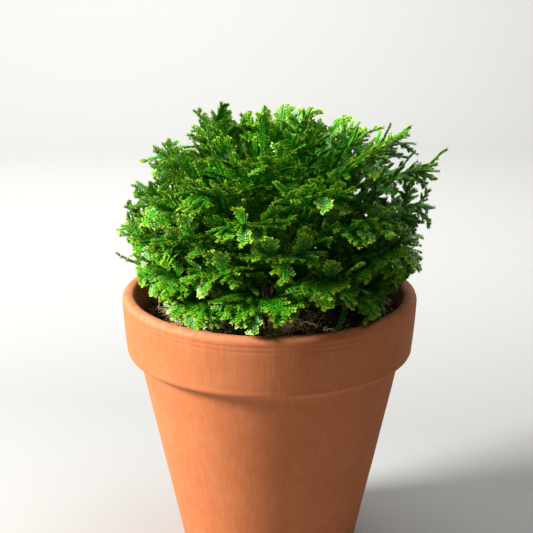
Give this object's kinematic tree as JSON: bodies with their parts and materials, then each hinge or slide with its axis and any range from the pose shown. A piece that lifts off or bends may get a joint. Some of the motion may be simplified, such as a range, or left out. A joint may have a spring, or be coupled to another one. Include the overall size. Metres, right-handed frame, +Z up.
{
  "type": "potted spikemoss",
  "caption": "Bushy spikemoss with flattened, forked, scale-leaved fronds, growing in dark soil in a banded terracotta flowerpot with a drain hole.",
  "frame": {"origin": "middle of the pot's underside, on the surface that it stands on", "axes": "+Z up; the pictured side faces -Y, +X is to the right of it"},
  "size_m": [0.1582, 0.155, 0.2289],
  "materials": {
    "terracotta": "unglazed, dusty, matte",
    "potting_soil": "crumbly, matte",
    "spikemoss_green": "waxy, satin"
  },
  "bodies": {
    "root": {"pot": "terracotta", "soil": "potting_soil", "frond_01": "spikemoss_green", "frond_02": "spikemoss_green", "frond_03": "spikemoss_green", "frond_04": "spikemoss_green", "frond_05": "spikemoss_green", "frond_06": "spikemoss_green", "frond_07": "spikemoss_green", "frond_08": "spikemoss_green", "frond_09": "spikemoss_green", "frond_10": "spikemoss_green", "frond_11": "spikemoss_green", "frond_12": "spikemoss_green", "frond_13": "spikemoss_green", "frond_14": "spikemoss_green", "frond_15": "spikemoss_green", "frond_16": "spikemoss_green", "frond_17": "spikemoss_green", "frond_18": "spikemoss_green", "frond_19": "spikemoss_green", "frond_20": "spikemoss_green", "frond_21": "spikemoss_green", "frond_22": "spikemoss_green", "frond_23": "spikemoss_green", "frond_24": "spikemoss_green", "frond_25": "spikemoss_green", "frond_26": "spikemoss_green", "frond_27": "spikemoss_green", "frond_28": "spikemoss_green", "frond_29": "spikemoss_green", "frond_30": "spikemoss_green", "frond_31": "spikemoss_green", "frond_32": "spikemoss_green", "frond_33": "spikemoss_green", "frond_34": "spikemoss_green", "frond_35": "spikemoss_green", "frond_36": "spikemoss_green", "frond_37": "spikemoss_green", "frond_38": "spikemoss_green", "frond_39": "spikemoss_green", "frond_40": "spikemoss_green", "frond_41": "spikemoss_green", "frond_42": "spikemoss_green", "frond_43": "spikemoss_green", "frond_44": "spikemoss_green", "frond_45": "spikemoss_green", "frond_46": "spikemoss_green", "frond_47": "spikemoss_green", "frond_48": "spikemoss_green", "frond_49": "spikemoss_green", "frond_50": "spikemoss_green"}
  },
  "joints": []
}
